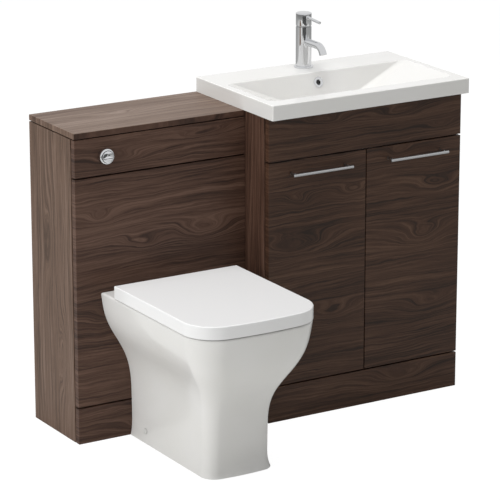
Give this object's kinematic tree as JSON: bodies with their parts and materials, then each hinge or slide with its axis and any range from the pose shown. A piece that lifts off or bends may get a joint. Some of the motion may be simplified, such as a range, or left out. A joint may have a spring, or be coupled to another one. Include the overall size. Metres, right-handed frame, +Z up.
{
  "type": "toilet and basin combination unit",
  "caption": "Back-to-wall toilet and semi-recessed basin joined by walnut-effect cabinets, with a hidden cistern, cupboard doors and a mixer tap.",
  "frame": {"origin": "on the floor and on the wall plane, where the toilet cabinet and the basin cabinet meet", "axes": "+X to the right seen from the front, +Y towards the wall, +Z up"},
  "size_m": [1.105, 0.757, 1.014],
  "materials": {
    "walnut_board": "dark walnut-effect film on board, matt with a fine grain",
    "ceramic": "white gloss glaze",
    "chrome": "polished chrome plating",
    "satin_aluminium": "satin",
    "zinc_plated_steel": "bright zinc plating",
    "seat_plastic": "white gloss moulding",
    "white_plastic": "white moulding",
    "rubber": "pale grey, matt"
  },
  "bodies": {
    "unit": {"wc_side_left": "walnut_board", "wc_side_right": "walnut_board", "wc_worktop": "walnut_board", "wc_crossboards": "walnut_board", "wc_fascia": "walnut_board", "wc_front_panel": "walnut_board", "wc_plinth": "walnut_board", "vanity_side_left": "walnut_board", "vanity_side_right": "walnut_board", "vanity_base": "walnut_board", "vanity_rails": "walnut_board", "vanity_fascia": "walnut_board", "vanity_plinth": "walnut_board", "pan": "ceramic", "basin": "ceramic", "button_housing": "chrome", "overflow_ring": "chrome", "waste_body": "chrome", "tap_base_ring": "chrome", "tap_body": "chrome", "hinge_arms": "zinc_plated_steel", "pan_screws": "zinc_plated_steel", "tap_fixing": "zinc_plated_steel", "cistern_tank": "white_plastic", "cistern_lid": "white_plastic", "flush_valve": "white_plastic", "fill_valve": "white_plastic", "flush_pipe": "white_plastic", "pan_connector": "white_plastic", "waste_nut": "white_plastic", "bottle_trap": "white_plastic", "trap_pipe": "white_plastic", "pan_brackets": "white_plastic", "pan_screw_caps": "white_plastic", "hinge_posts": "white_plastic", "seat_bolts": "white_plastic", "button_nut": "white_plastic", "tap_cartridge": "white_plastic", "tap_aerator": "white_plastic", "flush_cone": "rubber"},
    "door_left_leaf": {"door_left": "walnut_board", "hinge_cups_left": "zinc_plated_steel", "hinge_pins_left": "zinc_plated_steel", "handle_left": "satin_aluminium", "handle_screws_left": "zinc_plated_steel"},
    "door_right_leaf": {"door_right": "walnut_board", "hinge_cups_right": "zinc_plated_steel", "hinge_pins_right": "zinc_plated_steel", "handle_right": "satin_aluminium", "handle_screws_right": "zinc_plated_steel"},
    "lid_leaf": {"lid": "seat_plastic", "lid_buffers": "rubber"},
    "seat_leaf": {"seat": "seat_plastic", "seat_buffers": "rubber"},
    "full_flush_key": {"button_full_flush": "chrome"},
    "half_flush_key": {"button_half_flush": "chrome"},
    "plug": {"waste_plug": "chrome"},
    "tap_swivel": {"tap_collar": "chrome"},
    "tap_handle": {"tap_cap": "chrome", "tap_lever": "chrome"}
  },
  "joints": [
    {"name": "door_left_hinge", "type": "hinge", "parent": "unit", "child": "door_left_leaf", "pos_m": [0.0078, -0.352, 0.402], "axis": [0, 0, -1], "range_deg": [0, 90]},
    {"name": "door_right_hinge", "type": "hinge", "parent": "unit", "child": "door_right_leaf", "pos_m": [0.5922, -0.352, 0.402], "axis": [0, 0, 1], "range_deg": [0, 90]},
    {"name": "lid_hinge", "type": "hinge", "parent": "unit", "child": "lid_leaf", "pos_m": [-0.25, -0.325, 0.423], "axis": [-1, 0, 0], "range_deg": [0, 95]},
    {"name": "seat_hinge", "type": "hinge", "parent": "unit", "child": "seat_leaf", "pos_m": [-0.25, -0.325, 0.423], "axis": [-1, 0, 0], "range_deg": [0, 91.2]},
    {"name": "full_flush_slide", "type": "slide", "parent": "unit", "child": "full_flush_key", "axis": [0, 1, 0], "range_m": [0, 0.004], "stiffness_N_per_m": 400},
    {"name": "half_flush_slide", "type": "slide", "parent": "unit", "child": "half_flush_key", "axis": [0, 1, 0], "range_m": [0, 0.004], "stiffness_N_per_m": 400},
    {"name": "plug_slide", "type": "slide", "parent": "unit", "child": "plug", "axis": [0, 0, 1], "range_m": [0, 0.008]},
    {"name": "tap_turn", "type": "hinge", "parent": "unit", "child": "tap_swivel", "pos_m": [0.3, -0.05, 0.9763], "axis": [0, 0, 1], "range_deg": [-45, 45]},
    {"name": "tap_lift", "type": "hinge", "parent": "tap_swivel", "child": "tap_handle", "pos_m": [0.3, -0.031, 0.979], "axis": [-1, 0, 0], "range_deg": [0, 20]}
  ],
  "couplings": [
    {"joint": "seat_hinge", "follows": "lid_hinge", "ratio": 0.96}
  ]
}
